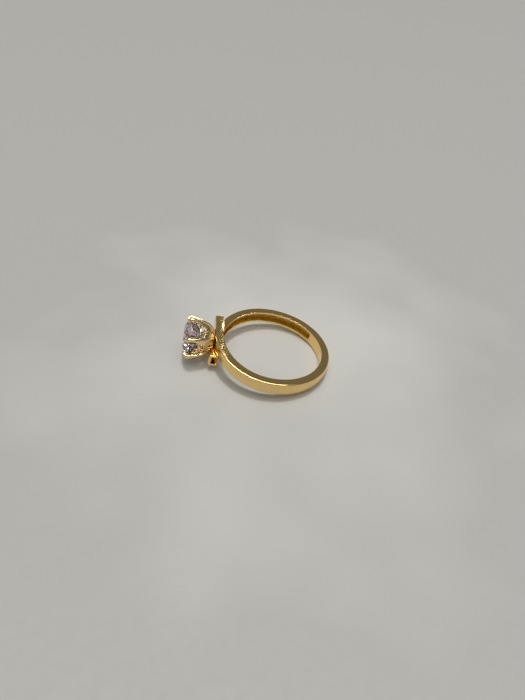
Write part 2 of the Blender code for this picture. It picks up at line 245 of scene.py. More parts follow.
def noise_node(tree, coordinates, scale, detail=4.0, stretch=None, turn=(0.0, 0.0, 0.0)):
    if stretch:
        mapping = tree.nodes.new("ShaderNodeMapping")
        mapping.inputs["Scale"].default_value = stretch
        mapping.inputs["Rotation"].default_value = turn
        tree.links.new(coordinates, mapping.inputs["Vector"])
        coordinates = mapping.outputs[0]
    noise = tree.nodes.new("ShaderNodeTexNoise")
    noise.inputs["Detail"].default_value = detail
    tree.links.new(coordinates, noise.inputs["Vector"])
    feed(tree, noise.inputs["Scale"], scale)
    return noise.outputs["Fac"]


def spread(tree, value, low, high, new_low=0.0, new_high=1.0):
    """Stretch the range from low to high over a new range."""
    node = tree.nodes.new("ShaderNodeMapRange")
    labels = ("Value", "From Min", "From Max", "To Min", "To Max")
    for label, number in zip(labels, (value, low, high, new_low, new_high)):
        feed(tree, node.inputs[label], number)
    return node.outputs["Result"]


def measure_node(tree, operation, place, fixed):
    """Measure a place against a fixed vector, by distance or by dot product."""
    node = tree.nodes.new("ShaderNodeVectorMath")
    node.operation = operation
    tree.links.new(place, node.inputs[0])
    node.inputs[1].default_value = fixed
    return node.outputs["Value"]


print("node helpers ready")

# %% Wheel lines of a hand polish
LINES_PER_METRE = 2600.0
LINE_STRETCH = 0.04
ONE_TURN = (0.3, 0.2, 0.9)
OTHER_TURN = (0.7, 0.1, 0.4)
FILM_PATCHES_PER_METRE = 420.0
FILM_RANGE = (0.38, 0.72)


def make_polish_group():
    group, given, put = new_group(
        "hand_polish", {"Line Scale": LINES_PER_METRE, "Line Depth": 1.0}, ["Lines", "Haze"])
    place = group.nodes.new("ShaderNodeTexCoord").outputs["Object"]
    one_way = noise_node(group, place, given.outputs["Line Scale"], 3.0,
                         (1.0, LINE_STRETCH, 1.0), ONE_TURN)
    other_way = noise_node(group, place, given.outputs["Line Scale"], 3.0,
                           (LINE_STRETCH, 1.0, 1.0), OTHER_TURN)
    crossed = math_node(group, "ADD", one_way, other_way)
    lines = math_node(group, "MULTIPLY", crossed, given.outputs["Line Depth"])
    group.links.new(lines, put.inputs["Lines"])
    patches = noise_node(group, place, FILM_PATCHES_PER_METRE, 5.0)
    haze = spread(group, patches, *FILM_RANGE)
    group.links.new(haze, put.inputs["Haze"])
    return group


polish_group = make_polish_group()
print("made the group", polish_group.name)

# %% Rough skin left by the casting mould
GRAINS_PER_METRE = 3600.0
PIT_RANGE = (0.15, 0.75)
PIT_SHARE = 0.8


def make_cast_group():
    group, given, put = new_group("cast_skin", {"Grain Scale": GRAINS_PER_METRE}, ["Height", "Pits"])
    place = group.nodes.new("ShaderNodeTexCoord").outputs["Object"]
    grain = noise_node(group, place, given.outputs["Grain Scale"], 6.0)
    cells = group.nodes.new("ShaderNodeTexVoronoi")
    cells.feature = "SMOOTH_F1"
    group.links.new(place, cells.inputs["Vector"])
    group.links.new(given.outputs["Grain Scale"], cells.inputs["Scale"])
    pits = spread(group, cells.outputs["Distance"], *PIT_RANGE)
    height = math_node(group, "ADD", grain, math_node(group, "MULTIPLY", pits, PIT_SHARE))
    group.links.new(height, put.inputs["Height"])
    group.links.new(pits, put.inputs["Pits"])
    return group


cast_group = make_cast_group()
print("made the group", cast_group.name)

# %% Edges burnished by wear
EDGE_START = 0.52
EDGE_SOFTNESS = 0.06


def make_edge_group():
    group, given, put = new_group("burnished_edges", {"Softness": EDGE_SOFTNESS}, ["Edge"])
    geometry = group.nodes.new("ShaderNodeNewGeometry")
    upper = math_node(group, "ADD", EDGE_START, given.outputs["Softness"])
    edge = spread(group, geometry.outputs["Pointiness"], EDGE_START, upper)
    group.links.new(edge, put.inputs["Edge"])
    return group


edge_group = make_edge_group()
print("made the group", edge_group.name)

# %% A helper for materials
def new_material(name):
    material = bpy.data.materials.new(name)
    material.use_nodes = True
    return material, material.node_tree, material.node_tree.nodes["Principled BSDF"]


def place_group(tree, group, **values):
    node = tree.nodes.new("ShaderNodeGroup")
    node.node_tree = group
    for label, value in values.items():
        node.inputs[label.replace("_", " ")].default_value = value
    return node


def blend_colours(tree, share, first, second):
    node = tree.nodes.new("ShaderNodeMix")
    node.data_type = "RGBA"
    for label, value in (("Factor", share), ("A", first), ("B", second)):
        feed(tree, node.inputs[label], value)
    return node.outputs["Result"]


def add_bump(tree, shader, height, strength, distance):
    bump = tree.nodes.new("ShaderNodeBump")
    bump.inputs["Strength"].default_value = strength
    bump.inputs["Distance"].default_value = distance
    tree.links.new(height, bump.inputs["Height"])
    tree.links.new(bump.outputs["Normal"], shader.inputs["Normal"])


print("material helpers ready")

# %% [markdown]
# ## Gold
# Yellow gold of fourteen carats is gold with silver and copper. It reflects red and green well and
# blue badly, so it is warm wherever it mirrors a grey room, and deep orange where gold mirrors
# gold. A painted yellow would look like plastic: the colour belongs to the reflection, which is
# what the metallic setting does.

# %% Polished gold
GOLD = (0.91, 0.655, 0.285)
GOLD_UNDER_FILM = (0.85, 0.585, 0.245)
# The pale gold is a painted highlight: a paler copy of the same gold, so the head looks lighter than
# the shank.
PALE_GOLD = (0.94, 0.74, 0.42)
WHEEL_LINE_DEPTH = 0.000004


def make_polished_gold(name, clean_colour, film_colour, smooth, hazy, line_depth, bump_strength):
    material, tree, shader = new_material(name)
    polish = place_group(tree, polish_group, Line_Depth=line_depth)
    edges = place_group(tree, edge_group)
    shader.inputs["Metallic"].default_value = 1.0
    colour = blend_colours(tree, polish.outputs["Haze"], clean_colour, film_colour)
    tree.links.new(colour, shader.inputs["Base Color"])
    plain_part = math_node(tree, "SUBTRACT", 1.0, edges.outputs["Edge"])
    haze = math_node(tree, "MULTIPLY", polish.outputs["Haze"], plain_part)
    roughness = spread(tree, haze, 0.0, 1.0, smooth, hazy)
    tree.links.new(roughness, shader.inputs["Roughness"])
    add_bump(tree, shader, polish.outputs["Lines"], bump_strength, WHEEL_LINE_DEPTH)
    return material


polished_gold = make_polished_gold(
    "polished_gold", GOLD, GOLD_UNDER_FILM, smooth=0.03, hazy=0.09, line_depth=1.0, bump_strength=0.10)
# Painted highlight: the claws, rail and wire get the paler copy of the same gold; the metal is the
# shank's.
painted_pale_gold = make_polished_gold(
    "gold_with_painted_highlight", PALE_GOLD, GOLD, smooth=0.03, hazy=0.08, line_depth=0.6, bump_strength=0.08)
print("made", polished_gold.name, "and", painted_pale_gold.name)

# %% Gold with its cast skin, behind the arms
SKIN_LIGHT = (0.98, 0.70, 0.16)
SKIN_DARK = (0.62, 0.40, 0.05)
SKIN_ROUGHNESS = (0.38, 0.62)
SKIN_RELIEF = 0.00012


def make_cast_gold():
    material, tree, shader = new_material("cast_gold")
    skin = place_group(tree, cast_group)
    shader.inputs["Metallic"].default_value = 1.0
    colour = blend_colours(tree, skin.outputs["Pits"], SKIN_LIGHT, SKIN_DARK)
    tree.links.new(colour, shader.inputs["Base Color"])
    roughness = spread(tree, skin.outputs["Pits"], 0.0, 1.0, *SKIN_ROUGHNESS)
    tree.links.new(roughness, shader.inputs["Roughness"])
    add_bump(tree, shader, skin.outputs["Height"], 1.0, SKIN_RELIEF)
    return material


cast_gold = make_cast_gold()
print("made", cast_gold.name)

# %% [markdown]
# ## Stone
# The stone is clear and bends light strongly, so its back facets mirror the claws and the table
# and look dark grey, lilac and brown in turn. It is glass with a high index of refraction. Its
# girdle is left frosted by the grinding wheel, so it gets a second material.

# %% Clear stone and frosted girdle
STONE_TINT = (0.82, 0.74, 0.84)
STONE_TINT_DEEP = (0.71, 0.60, 0.74)
STONE_INDEX = 2.2
STONE_LINES_PER_METRE = 5200.0


def make_stone_material(name, smooth, hazy):
    material, tree, shader = new_material(name)
    polish = place_group(tree, polish_group, Line_Scale=STONE_LINES_PER_METRE)
    shader.inputs["Transmission Weight"].default_value = 1.0
    shader.inputs["IOR"].default_value = STONE_INDEX
    colour = blend_colours(tree, polish.outputs["Haze"], STONE_TINT, STONE_TINT_DEEP)
    tree.links.new(colour, shader.inputs["Base Color"])
    roughness = spread(tree, polish.outputs["Haze"], 0.0, 1.0, smooth, hazy)
    tree.links.new(roughness, shader.inputs["Roughness"])
    return material


clear_stone = make_stone_material("clear_cut_stone", smooth=0.0, hazy=0.02)
frosted_girdle = make_stone_material("frosted_girdle", smooth=0.30, hazy=0.45)
print("made", clear_stone.name, "and", frosted_girdle.name)

# %% [markdown]
# ## Shank
# The shank is one strip of gold bent round the finger. Its outside is slightly domed, its sides
# are flat, and behind the arms it is hollowed to save metal, with rims left along both edges. The
# arms slide sideways as they rise, so that they pass each other under the head. It could be bent
# from a straight bar with a curve, but the section has to change where the hollow starts. So the
# section is drawn once as a small sheet at the bottom of the ring and pushed round the finger,
# station by station. Where the hollow starts, only the U-shaped part of the section goes on, and
# the rest stays behind as the end wall of the hollow. The polished outside is true to the section,
# but the hollow was never filed, so its points are shaken a little out of line.

# %% Sizes of the shank
BAND_WIDTH = 2.2
ARM_WIDTH = 2.05
ARM_CLEARANCE = 0.15
ARM_OVERRUN = 3.6
FLARE = {1.0: 0.5, -1.0: 0.1}
SWEEP_HALF_ANGLE = 80.0
THICKENING_START = 40.0
SOLID_HALF_ANGLE = 33.0
HOLLOW_WALL = 0.34
HOLLOW_RIM = 0.34
STATIONS_SOLID = 16
STATIONS_HOLLOW = 70
STATIONS_OVERRUN = 10
EDGE_ROUND = 0.16
INNER_EDGE_ROUND = 0.06
SKIN_WOBBLE = 0.05


def shank_reach(run):
    share = ease((run - THICKENING_START) / (180.0 - THICKENING_START))
    return FINGER_RADIUS + BAND_THICKNESS + (ARM_THICKNESS - BAND_THICKNESS) * share


def shank_width(run):
    return BAND_WIDTH + (ARM_WIDTH - BAND_WIDTH) * ease(run / 180.0)


def arm_shift(run):
    travel = (run - (180.0 - SWEEP_HALF_ANGLE)) / (2.0 * SWEEP_HALF_ANGLE)
    return ease(travel) * (ARM_WIDTH + ARM_CLEARANCE)


def overrun_of(run):
    return math.radians(max(run - 180.0, 0.0)) * crossing_radius


print("arms run on", ARM_OVERRUN, "mm past the crossing")

# %% Draw the section at the bottom of the ring
ON_LINE = 0.01


def draw_section():
    outer = FINGER_RADIUS + BAND_THICKNESS
    bpy.ops.mesh.primitive_plane_add(
        size=1.0, location=(FINGER_RADIUS + BAND_THICKNESS / 2, 0, 0),
        rotation=(math.radians(90), 0, 0))
    section = bpy.context.object
    section.name = "polished_shank"
    section.scale = (BAND_THICKNESS, BAND_WIDTH, 1.0)
    apply_place(section)
    edit(section)
    rim = BAND_WIDTH / 2 - HOLLOW_RIM
    heights = (-rim, -rim / 2, 0.0, rim / 2, rim)
    for height in heights:
        bpy.ops.mesh.select_all(action="SELECT")
        bpy.ops.mesh.bisect(plane_co=(0, 0, height), plane_no=(0, 0, 1))
    bpy.ops.mesh.select_all(action="SELECT")
    bpy.ops.mesh.bisect(plane_co=(outer - HOLLOW_WALL, 0, 0), plane_no=(1, 0, 0))
    for height in heights:
        share = height / (BAND_WIDTH / 2)
        pick("VERT", lambda v: abs(v.co.z - height) < ON_LINE and v.co.x > outer - ON_LINE)
        bpy.ops.transform.translate(value=(DOME_RISE * (0.5 - share * share), 0, 0))
    pick("VERT", lambda v: abs(v.co.z) > rim + ON_LINE and v.co.x > outer - ON_LINE)
    bpy.ops.transform.translate(value=(-DOME_RISE / 2, 0, 0))
    return section


clear_selection()
shank = draw_section()
object_mode()
print("section of", len(shank.data.polygons), "sheets")

# %% Push the section round the finger, one arm at a time
def carry_section(start, end, side):
    """Move the selected end face from one station of an arm to the next."""
    bpy.ops.mesh.extrude_region_move()
    turn_about_finger(math.radians(min(end, 180.0) - min(start, 180.0)) * side)
    grow = shank_reach(min(end, 180.0)) / shank_reach(min(start, 180.0))
    bpy.ops.transform.resize(value=(grow, grow, 1.0), center_override=(0, 0, 0))
    narrow = shank_width(end) / shank_width(start)
    old_shift = -side * arm_shift(start)
    bpy.ops.transform.resize(value=(1.0, 1.0, narrow), center_override=(0, 0, old_shift))
    onward = overrun_of(end) - overrun_of(start)
    flare = FLARE[side] * (overrun_of(end) ** 2 - overrun_of(start) ** 2) / ARM_OVERRUN ** 2
    lift = -side * arm_shift(end) - old_shift
    bpy.ops.transform.translate(value=(-flare, -side * onward, lift))


def steps_between(start, end, count):
    return [start + (end - start) * (index + 1) / count for index in range(count)]


def is_floor_of_hollow(face):
    """True for the part of the section that the hollow takes away."""
    place = face.calc_center_median()
    deep = shank_reach(SOLID_HALF_ANGLE) - HOLLOW_WALL
    rim = shank_width(SOLID_HALF_ANGLE) / 2 - HOLLOW_RIM
    return math.hypot(place.x, place.y) < deep and abs(place.z) < rim


def push_arm(side):
    end_run = 180.0 + math.degrees(ARM_OVERRUN / crossing_radius)
    run = 0.0
    for station in steps_between(0.0, SOLID_HALF_ANGLE, STATIONS_SOLID):
        carry_section(run, station, side)
        run = station
    pick("FACE", lambda face: not is_floor_of_hollow(face), only_selected=True)
    onward = steps_between(SOLID_HALF_ANGLE, 180.0, STATIONS_HOLLOW)
    for station in onward + steps_between(180.0, end_run, STATIONS_OVERRUN):
        carry_section(run, station, side)
        run = station


edit(shank)
push_arm(1.0)
pick("FACE", lambda face: abs(face.calc_center_median().y) < 1e-4 and face.calc_center_median().x > 0
     and abs(face.normal.y) > 0.9)
push_arm(-1.0)
close_and_orient()
object_mode()
print("shank pushed out of", len(shank.data.polygons), "faces")

# %% Find a place's station, reach and offset on the shank
PAST_CROSSING_HEIGHT = 0.55
ANGLE_SLACK = 0.1
SIDE_SLACK = 0.02
FLOOR_SLACK = 0.05
RIM_FACE_DEPTH = 0.12
CORNER_DEPTH = 0.15
CORNER_SLACK = 0.05
SHARP_CORNER = math.radians(40)


def on_shank(place):
    """Station angle, reach from the finger axis or from the arm's line, and sideways offset."""
    side = 1.0 if place.y > 0 else -1.0
    station = math.degrees(math.atan2(abs(place.y), place.x))
    past_crossing = abs(place.z) > PAST_CROSSING_HEIGHT and place.z * place.y > 0
    if place.x < 0 and past_crossing and abs(place.y) < ARM_OVERRUN + 1:
        side = -side
        station = 180.0 + math.degrees(abs(place.y) / crossing_radius)
    flare = FLARE[side] * (overrun_of(station) / ARM_OVERRUN) ** 2
    reach = math.hypot(place.x, place.y) if station < 180.0 else -place.x - flare
    return station, reach, place.z + side * arm_shift(station)


def in_hollow(face):
    """True for the walls and the floor of the hollow."""
    station, reach, offset = on_shank(face.calc_center_median())
    run = min(station, 180.0)
    rim = shank_width(run) / 2 - HOLLOW_RIM
    deep = shank_reach(run) - HOLLOW_WALL
    return (station > SOLID_HALF_ANGLE - ANGLE_SLACK and abs(offset) < rim + SIDE_SLACK
            and FINGER_RADIUS + RIM_FACE_DEPTH < reach < deep + FLOOR_SLACK)


def is_outer_corner(edge):
    """True for the edges between the domed outside and the flat sides."""
    if len(edge.link_faces) != 2 or edge.calc_face_angle() < SHARP_CORNER:
        return False
    station, reach, offset = on_shank(middle(edge))
    run = min(station, 180.0)
    return (reach > shank_reach(run) - CORNER_DEPTH
            and abs(offset) > shank_width(run) / 2 - CORNER_SLACK)


edit(shank)
hollow_faces = pick("FACE", in_hollow)
bpy.ops.transform.vertex_random(offset=SKIN_WOBBLE, seed=3)
mark_second_finish(shank)
outer_corners = pick("EDGE", is_outer_corner)
bpy.ops.transform.edge_bevelweight(value=1.0)
object_mode()
print(hollow_faces, "faces lie in the hollow,", outer_corners, "edges on the outer corners")

# %% Round the edges of the shank and drill it for the peg
PEG_RADIUS = 0.34
PEG_LENGTH = 1.0
GAP = 0.03

give_materials(shank, polished_gold, cast_gold)
modify(shank, "BEVEL", limit_method="WEIGHT", width=EDGE_ROUND, segments=5)
modify(shank, "BEVEL", limit_method="ANGLE", angle_limit=math.radians(50), width=INNER_EDGE_ROUND,
       segments=2, use_clamp_overlap=True)
clear_selection()
bpy.ops.mesh.primitive_cylinder_add(
    vertices=32, radius=PEG_RADIUS + GAP, depth=6.0, location=(-crossing_radius, 0, 0),
    rotation=(0, math.radians(90), 0))
drill = bpy.context.object
modify(shank, "BOOLEAN", object=drill, operation="DIFFERENCE", solver="EXACT")
bpy.data.objects.remove(drill, do_unlink=True)
smooth(shank)
modify(shank, "WEIGHTED_NORMAL", mode="FACE_AREA", keep_sharp=True)
finish_piece(shank, ["shank"], on_head=False)
print("shank sizes in mm", [round(v * 1000, 2) for v in shank.dimensions])

# %% [markdown]
# ## Claws
# Each claw starts as a broad petal at the foot of the head, narrows as it rises, and at the top is
# notched for the stone's edge and bent over its crown. A petal follows the round of the head, so
# bending a flat leaf would be hard to control. Instead its outline is drawn at each height, by
# turning a point round the head's axis, stepping inwards and turning it back. The sides of its
# outer arc then drop a little, which leaves a soft ridge along the middle. The outlines are
# bridged into a skin, the ends are closed, and subdivision rounds it as polishing does.

# %% Heights, radii and half angles of a claw
# Each row of the petal gives its outer radius and height, inner radius and height, and half angle.
PETAL_STATIONS = (
    (2.10, 0.08, 1.80, 0.08, 18.0),
    (2.50, 0.49, 2.18, 0.54, 17.0),
    (2.78, 0.86, 2.45, 0.93, 15.2),
    (3.02, 1.35, 2.70, 1.42, 12.6),
    (3.22, 1.85, 2.90, 1.90, 10.2),
    (3.44, 2.36, 3.06, 2.38, 8.0),
    (3.64, 2.92, 3.14, 2.92, 6.0),
    (3.78, 3.38, 3.12, 3.34, 5.4),
)
# Above these the claw is measured from the stone's edge: out, up, inner out, inner up, half angle.
GRIP_STATIONS = (
    (0.60, -0.27, -0.15, -0.27, 5.2),
    (0.63, -0.09, 0.04, -0.10, 5.4),
    (0.63, 0.14, 0.04, 0.12, 5.5),
    (0.52, 0.42, -0.13, 0.24, 5.5),
    (0.28, 0.63, -0.29, 0.35, 5.2),
    (-0.04, 0.73, -0.41, 0.44, 4.6),
    (-0.29, 0.69, -0.45, 0.55, 3.4),
)
ARC_STEPS = 6
CLAW_COUNT = 6
FOOT_CREASE = 0.75
RIDGE = 0.35
EDGE_FADE_HEIGHT = 2.6
CLOSE_END_SPAN = 0.35


def claw_stations():
    rows = list(PETAL_STATIONS)
    for out, up, inner_out, inner_up, half in GRIP_STATIONS:
        rows.append((STONE_RADIUS + out, GIRDLE_HEIGHT + up, STONE_RADIUS + inner_out,
                     GIRDLE_HEIGHT + inner_up, half))
    return rows


def petal_inside(height):
    """Radius of the inner side of the petals at a height above the arms."""
    rows = [(row[2], row[3]) for row in PETAL_STATIONS]
    for (first, low), (second, high) in zip(rows, rows[1:]):
        if low <= height <= high:
            return first + (second - first) * (height - low) / (high - low)
    return rows[0][0]


print(len(claw_stations()), "outlines make a claw")

# %% Draw one claw
POINT_SIZE = 0.001


def near(place, reach=1e-3):
    return lambda vertex: (vertex.co - place).length < reach


def add_point(place):
    bpy.ops.mesh.primitive_plane_add(size=POINT_SIZE, location=place)
    bpy.ops.mesh.merge(type="CENTER")


def turn_point(angle, steps):
    bpy.ops.mesh.spin(steps=steps, angle=-math.radians(angle), center=(0, 0, 0), axis=(0, 0, 1))


def draw_outline(row):
    """One closed outline of a claw: outer arc, step inwards, inner arc back, and the ridge."""
    outer, up, inner, rise, half = row
    start = around(outer, -half, up)
    add_point(start)
    turn_point(2 * half, ARC_STEPS)
    step_in = around(inner, half, rise) - around(outer, half, up)
    bpy.ops.mesh.extrude_vertices_move(TRANSFORM_OT_translate={"value": step_in})
    turn_point(-2 * half, ARC_STEPS)
    end = around(inner, -half, rise)
    pick("VERT", lambda vertex: near(start)(vertex) or near(end)(vertex))
    bpy.ops.mesh.edge_face_add()
    for step in range(1, ARC_STEPS // 2 + 1):
        share = 2 * step / ARC_STEPS
        sides = [near(around(outer, way * share * half, up)) for way in (1, -1)]
        pick("VERT", lambda vertex: any(test(vertex) for test in sides))
        bpy.ops.transform.translate(value=(-RIDGE * (outer - inner) * share * share, 0, 0))


def draw_claw():
    bpy.ops.mesh.primitive_plane_add(size=POINT_SIZE)
    claw = bpy.context.object
    claw.name = "petal_claw_1"
    edit(claw, "VERT")
    bpy.ops.mesh.delete(type="VERT")
    for row in claw_stations():
        draw_outline(row)
    bpy.ops.mesh.select_mode(type="EDGE")
    bpy.ops.mesh.select_all(action="SELECT")
    bpy.ops.mesh.bridge_edge_loops(type="SINGLE")
    return claw


clear_selection()
claw = draw_claw()
object_mode()
print("bridged claw:", len(claw.data.vertices), "points,", len(claw.data.polygons), "faces")

# %% Close its ends, keep the petal's edges crisp and round the rest
def close_ends(piece):
    edit(piece, "EDGE")
    while pick("EDGE", lambda edge: edge.is_boundary):
        start = min(middle(edge).z for edge in bmesh.from_edit_mesh(piece.data).edges if edge.select)
        pick("EDGE", lambda edge: middle(edge).z < start + CLOSE_END_SPAN, only_selected=True)
        bpy.ops.mesh.edge_face_add()
    close_and_orient(1e-5)


def is_petal_edge(edge):
    """True for the long edges of the petal, where its outer and inner sides meet its flanks."""
    if middle(edge).z > EDGE_FADE_HEIGHT or len(edge.link_faces) != 2:
        return False
    low, high = sorted(vertex.co.z for vertex in edge.verts)
    return high - low > 0.05 and edge.calc_face_angle() > math.radians(50)


close_ends(claw)
creased = pick("EDGE", is_petal_edge)
bpy.ops.transform.edge_crease(value=FOOT_CREASE)
object_mode()
print(creased, "edges kept crisp")
modify(claw, "SUBSURF", levels=2, render_levels=2)
smooth(claw)
give_materials(claw, painted_pale_gold)
print("claw has", len(claw.data.polygons), "faces")

# %% Copy the claw to its six places
def copy_turned(piece, name, angle):
    """Copy a piece with its own mesh and turn it about the head's axis."""
    take(piece)
    bpy.ops.object.duplicate(linked=False)
    copy = bpy.context.object
    copy.name = name
    copy.rotation_euler = (0.0, 0.0, math.radians(angle))
    apply_place(copy)
    return copy


claws = [claw]
for number in range(1, CLAW_COUNT):
    claws.append(copy_turned(claw, "petal_claw_%d" % (number + 1), 360.0 / CLAW_COUNT * number))
for number, piece in enumerate(claws):
    finish_piece(piece, ["claw_%d" % (number + 1)])

# %% [markdown]
# ## Cup and peg
# Inside the petals a small cup carries them, and a peg under it goes down between the arms, where
# it is soldered. Both are turned shapes. The cup's half section is drawn as a chain of points and
# spun all the way round. The peg is a rod, tapered at its end as a file leaves it.

# %% Spin the cup
CUP_FLOOR = 0.5
CUP_WALL = 0.35
CUP_RIM = 1.2
CUP_STEPS = 72
CUP_EDGE_ROUND = 0.05


def spin_chain(name, places, steps):
    """Draw a chain of points in the XZ plane and spin it once round the head's axis."""
    bpy.ops.mesh.primitive_plane_add(size=POINT_SIZE)
    piece = bpy.context.object
    piece.name = name
    edit(piece, "VERT")
    bpy.ops.mesh.delete(type="VERT")
    add_point(places[0])
    for before, after in zip(places, places[1:]):
        onward = Vector(after) - Vector(before)
        bpy.ops.mesh.extrude_vertices_move(TRANSFORM_OT_translate={"value": onward})
    bpy.ops.mesh.select_all(action="SELECT")
    bpy.ops.mesh.spin(steps=steps, angle=math.tau, center=(0, 0, 0), axis=(0, 0, 1))
    close_and_orient()
    object_mode()
    return piece


def cup_chain():
    """Half section of the cup; its foot rises outwards as the flared arm under it does."""
    rim = petal_inside(CUP_RIM) - GAP
    foot = petal_inside(PETAL_STATIONS[0][3]) - GAP
    seat = [(radius, 0.0, GAP + FLARE[1.0] * (radius / ARM_OVERRUN) ** 2)
            for radius in (foot, foot / 2, 0.0)]
    inside = [(0.0, 0.0, CUP_FLOOR), (foot - CUP_WALL, 0.0, CUP_FLOOR),
              (rim - CUP_WALL, 0.0, CUP_RIM)]
    wall = [(row[2] - GAP, 0.0, row[3])
            for row in PETAL_STATIONS if seat[0][2] < row[3] < CUP_RIM]
    return inside + [(rim, 0.0, CUP_RIM)] + wall[::-1] + seat


clear_selection()
cup = spin_chain("turned_cup", cup_chain(), CUP_STEPS)
modify(cup, "BEVEL", limit_method="ANGLE", angle_limit=math.radians(30), width=CUP_EDGE_ROUND,
       segments=3)
smooth(cup)
give_materials(cup, polished_gold)
finish_piece(cup, ["head_cup"])

# %% File the peg
PEG_TAPER = 0.08
PEG_TIP = 0.04
PEG_EDGE_ROUND = 0.03

clear_selection()
bpy.ops.mesh.primitive_cylinder_add(vertices=40, radius=PEG_RADIUS, depth=PEG_LENGTH,
                                    location=(0, 0, -PEG_LENGTH / 2))
peg = bpy.context.object
peg.name = "filed_peg"
apply_place(peg)
edit(peg)
pick("FACE", lambda face: face.normal.z < -0.9)
bpy.ops.mesh.inset(thickness=PEG_TAPER)
bpy.ops.transform.translate(value=(0, 0, -PEG_TIP))
object_mode()
modify(peg, "BEVEL", limit_method="ANGLE", angle_limit=math.radians(40), width=PEG_EDGE_ROUND,
       segments=2)
smooth(peg)
give_materials(peg, polished_gold)
finish_piece(peg, ["head_peg"])

# %% [markdown]
# ## Rail and beaded wire
# A plain round rail ties the petals together inside, just under the stone. Below it runs a wire of
# small beads that dips between the petals and rises behind them. A bead is modelled once as a
# small ball and copied along the wave, because real beads are all rolled by one wheel.

# %% Spin the rail from a round of wire
RAIL_WIRE_RADIUS = 0.14
RAIL_HEIGHT = 2.4
RAIL_INNER_SIDE = 0.1
RAIL_FLATTENING = 0.035
RAIL_STEPS = 96

rail_radius = petal_inside(RAIL_HEIGHT) - RAIL_WIRE_RADIUS - GAP
clear_selection()
bpy.ops.mesh.primitive_circle_add(
    vertices=16, radius=RAIL_WIRE_RADIUS, location=(rail_radius, 0, RAIL_HEIGHT),
    rotation=(math.radians(90), 0, 0))
rail = bpy.context.object
rail.name = "round_rail"
apply_place(rail)
edit(rail, "VERT")
pick("VERT", lambda vertex: vertex.co.x < rail_radius - RAIL_INNER_SIDE)
bpy.ops.transform.translate(value=(RAIL_FLATTENING, 0, 0))
bpy.ops.mesh.select_all(action="SELECT")
bpy.ops.mesh.spin(steps=RAIL_STEPS, angle=math.tau, center=(0, 0, 0), axis=(0, 0, 1))
close_and_orient()
smooth(rail)
give_materials(rail, painted_pale_gold)
finish_piece(rail, ["gallery_rail"])

# %% Set the beads along the wave
BEAD_RADIUS = 0.15
BEAD_SQUASH = 0.86
BEAD_LOW = 1.5
BEAD_HIGH = 1.98
BEADS = 54
CORE_RADIUS = 0.07


def wave_place(angle):
    """Middle of the wire at an angle: high behind each petal and low between two."""
    wave = math.cos(math.radians(angle * CLAW_COUNT))
    height = (BEAD_LOW + BEAD_HIGH) / 2 + (BEAD_HIGH - BEAD_LOW) / 2 * wave
    return around(petal_inside(height) - BEAD_RADIUS - 2 * GAP, angle, height)


def make_core_wire():
    curve = bpy.data.curves.new("milgrain_wire", "CURVE")
    curve.dimensions = "3D"
    curve.bevel_depth = CORE_RADIUS
    curve.bevel_resolution = 1
    spline = curve.splines.new("POLY")
    spline.points.add(BEADS * 3 - 1)
    spline.use_cyclic_u = True
    for index, point in enumerate(spline.points):
        point.co = (*wave_place(360.0 * index / len(spline.points)), 1.0)
    wire = bpy.data.objects.new("milgrain_wire", curve)
    bpy.context.scene.collection.objects.link(wire)
    take(wire)
    bpy.ops.object.convert(target="MESH")
    return bpy.context.object


wire = make_core_wire()
clear_selection()
bpy.ops.mesh.primitive_ico_sphere_add(subdivisions=2, radius=BEAD_RADIUS, location=wave_place(0.0))
bead = bpy.context.object
bead.scale = (1.0, BEAD_SQUASH, 1.0)
apply_place(bead)
beads = [bead]
for index in range(1, BEADS):
    angle = 360.0 * index / BEADS
    take(bead)
    bpy.ops.object.duplicate(linked=False)
    copy = bpy.context.object
    turned = Matrix.Rotation(math.radians(angle), 3, "Z") @ wave_place(0.0)
    copy.rotation_euler = (0.0, 0.0, math.radians(angle))
    copy.location = wave_place(angle) - turned
    apply_place(copy)
    beads.append(copy)
clear_selection()
for piece in beads + [wire]:
    piece.select_set(True)
bpy.context.view_layer.objects.active = wire
bpy.ops.object.join()
wire = bpy.context.object
wire.name = "milgrain_wire"
bpy.ops.object.shade_smooth()
give_materials(wire, painted_pale_gold)
finish_piece(wire, ["beaded_wire"])

# %% [markdown]
# ## Stone
# A brilliant is ground flat by flat. The rough is a round rod, and each facet takes away what lies
# outside one plane. Bisecting with a filled cut does the same: eight mains on each side, sixteen
# halves beside them, eight stars round the table, the table and a tiny flat at the point.

# %% Grind one facet
GIRDLE_SIDES = 64
MAIN_FACETS = 8
PAVILION_ANGLE = math.radians(40.75)
STAR_LENGTH = 0.5
LOWER_HALF_LENGTH = 0.77
CULET_RADIUS = 0.05
facet_step = 360.0 / MAIN_FACETS
facet_angles = [index * facet_step for index in range(MAIN_FACETS)]


def grind(first, second, third):
    """Take away everything outside the plane through three points."""
    normal = (second - first).cross(third - first).normalized()
    if normal.dot(first - Vector((0.0, 0.0, GIRDLE_HEIGHT))) < 0.0:
        normal.negate()
    bpy.ops.mesh.select_all(action="SELECT")
    bpy.ops.mesh.bisect(
        plane_co=first, plane_no=normal, use_fill=True, clear_outer=True, threshold=1e-6)


def grind_flat(radius, height):
    """Take away everything beyond a level plane: the table or the flat at the point."""
    grind(*(around(radius, angle, height) for angle in (0, 45, 90)))


